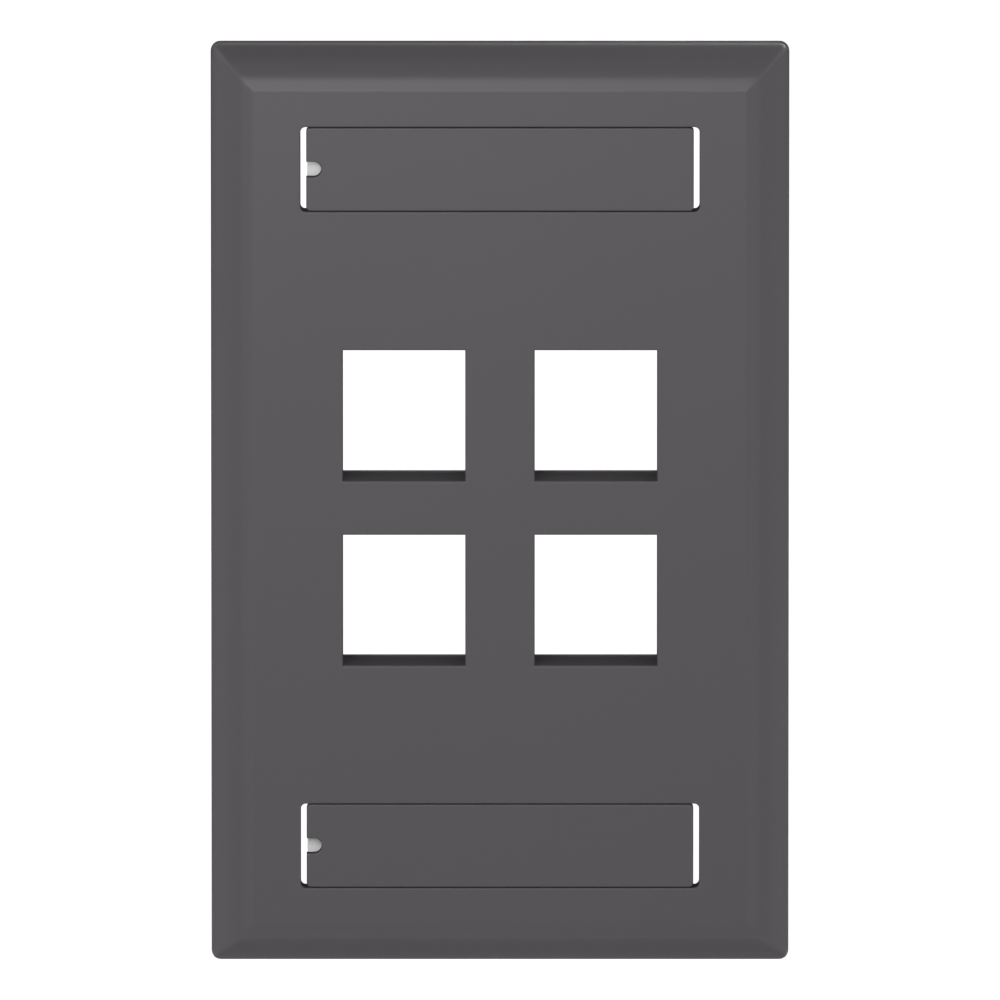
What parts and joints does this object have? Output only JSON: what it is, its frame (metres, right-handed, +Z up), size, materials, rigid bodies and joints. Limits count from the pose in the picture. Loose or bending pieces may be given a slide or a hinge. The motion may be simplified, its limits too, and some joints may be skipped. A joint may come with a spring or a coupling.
{
  "type": "keystone faceplate",
  "caption": "Upright wall plate with keystone jack openings, a stepped bevel edge, snap-in label covers and hidden mounting screws.",
  "frame": {"origin": "centre of the plate on the plane of the wall, midway between the two mounting screws", "axes": "+Z up the plate as it hangs, +X to the right seen from the front, +Y into the wall"},
  "size_m": [0.071, 0.0217, 0.1142],
  "materials": {
    "plate_plastic": "smooth dark grey moulded plastic, semi-matt",
    "cover_plastic": "the plate's own dark grey plastic, semi-matt",
    "label_card": "uncoated white card, matt",
    "screw_steel": "zinc-plated steel"
  },
  "bodies": {
    "plate": {"faceplate": "plate_plastic", "upper_label_card": "label_card", "lower_label_card": "label_card", "upper_mounting_screw": "screw_steel", "lower_mounting_screw": "screw_steel"},
    "upper_cover": {"upper_label_cover": "cover_plastic"},
    "lower_cover": {"lower_label_cover": "cover_plastic"}
  },
  "joints": [
    {"name": "upper_cover_pull_off", "type": "slide", "parent": "plate", "child": "upper_cover", "axis": [0, -1, 0], "range_m": [0, 0.01]},
    {"name": "lower_cover_pull_off", "type": "slide", "parent": "plate", "child": "lower_cover", "axis": [0, -1, 0], "range_m": [0, 0.01]}
  ]
}
